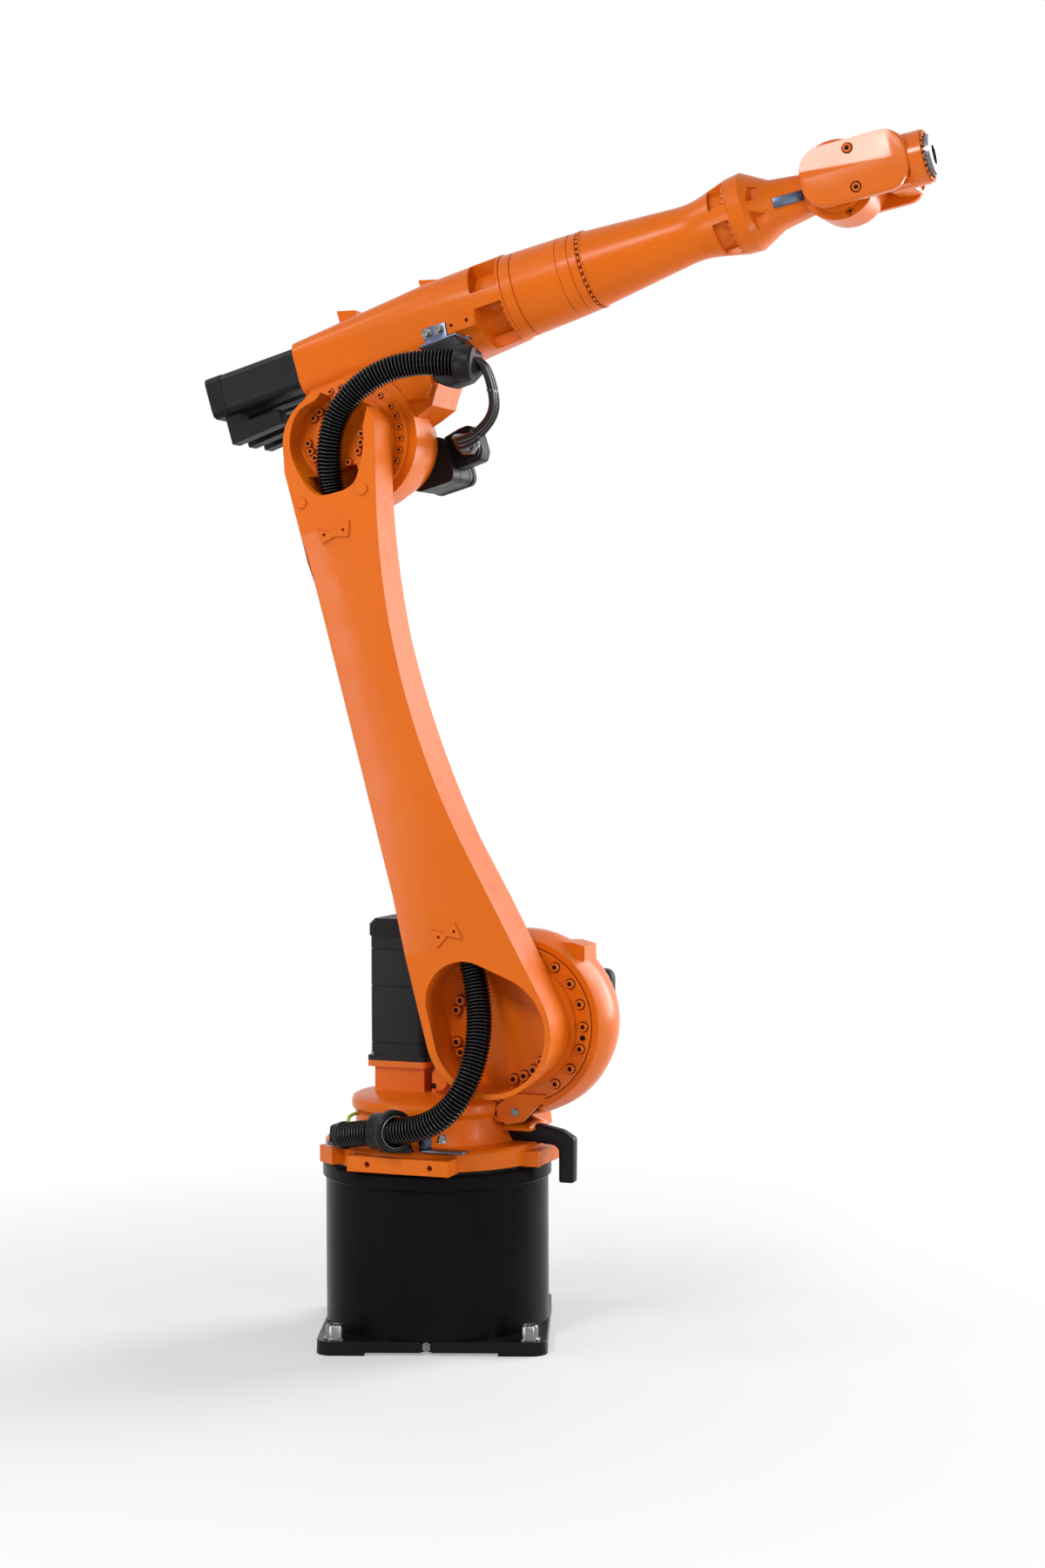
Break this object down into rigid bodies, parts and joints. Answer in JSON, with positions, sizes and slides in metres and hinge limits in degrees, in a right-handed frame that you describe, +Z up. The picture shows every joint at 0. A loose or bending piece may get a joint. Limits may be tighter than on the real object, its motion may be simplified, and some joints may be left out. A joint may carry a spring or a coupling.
{
  "type": "six-axis industrial robot arm",
  "caption": "Floor-standing six-axis industrial robot arm with a leaning link arm, long forearm, round pedestal and corrugated hoses.",
  "frame": {"origin": "middle of the base plate's underside, below the first axis", "axes": "+X along the plate's front edge, +Y to the back, +Z up"},
  "size_m": [1.1761, 0.5338, 1.9103],
  "materials": {
    "orange_paint": "semi-gloss",
    "black_paint": "satin",
    "black_rubber": "satin",
    "motor_body": "satin black",
    "motor_cap": "matte",
    "zinc_plate": "satin",
    "bare_steel": "satin"
  },
  "bodies": {
    "base": {"base_plate": "black_paint", "base_cylinder": "black_paint", "base_collar": "black_paint", "base_seal": "black_rubber"},
    "column": {"column_flange": "orange_paint", "column_casting": "orange_paint", "a2_gear_ring": "orange_paint", "a1_motor_plate": "motor_body", "a1_motor": "motor_body", "a1_motor_cap": "motor_cap", "a2_motor": "motor_body", "a2_motor_cap": "motor_cap", "stop_bar": "black_rubber", "lower_hose_clamp": "black_rubber", "lower_clamp_bracket": "zinc_plate", "hose_end_fitting": "black_rubber", "lower_hose": "black_rubber"},
    "link": {"link_arm": "orange_paint", "hose_in_link": "black_rubber"},
    "arm": {"a3_gear_ring": "orange_paint", "arm_housing": "orange_paint", "a3_motor": "motor_body", "a3_motor_cap": "motor_cap", "a3_motor_plug": "motor_cap", "motor_a4": "motor_body", "motor_a5": "motor_body", "motor_a6": "motor_body", "rear_motor_caps": "motor_cap", "rear_motor_plugs": "motor_cap", "a4_gearbox": "orange_paint", "upper_hose_clamp": "black_rubber", "upper_clamp_bracket": "zinc_plate", "arm_cables": "black_rubber", "upper_hose": "black_rubber"},
    "forearm": {"a4_output": "orange_paint", "arm_tube": "orange_paint", "wrist_housing": "orange_paint"},
    "wrist": {"wrist_body": "orange_paint", "near_cover": "orange_paint", "far_cover": "orange_paint", "end_ring": "orange_paint"},
    "tool": {"tool_flange": "bare_steel"}
  },
  "joints": [
    {"name": "a1_turn", "type": "hinge", "parent": "base", "child": "column", "pos_m": [0, 0, 0.293], "axis": [0, 0, 1], "range_deg": [-150.7, 189.3]},
    {"name": "a2_swing", "type": "hinge", "parent": "column", "child": "link", "pos_m": [0.15101, -0.05288, 0.52], "axis": [0.3305, 0.9438, 0], "range_deg": [-79.15, 170.85], "deforming": ["lower_hose"]},
    {"name": "a3_swing", "type": "hinge", "parent": "link", "child": "arm", "pos_m": [-0.10161, 0.03558, 1.46274], "axis": [-0.3305, -0.9438, 0], "range_deg": [-75, 210], "deforming": ["upper_hose"]},
    {"name": "a4_roll", "type": "hinge", "parent": "arm", "child": "forearm", "pos_m": [0.22653, -0.07933, 1.71738], "axis": [0.9079, -0.3179, 0.2731], "range_deg": [-185, 185]},
    {"name": "a5_tilt", "type": "hinge", "parent": "forearm", "child": "wrist", "pos_m": [0.64054, -0.22431, 1.84192], "axis": [-0.3305, -0.9438, 0], "range_deg": [-115.23, 124.77]},
    {"name": "a6_roll", "type": "hinge", "parent": "wrist", "child": "tool", "pos_m": [0.77206, -0.27037, 1.86921], "axis": [0.9262, -0.3244, 0.1922], "range_deg": [-350, 350]}
  ]
}
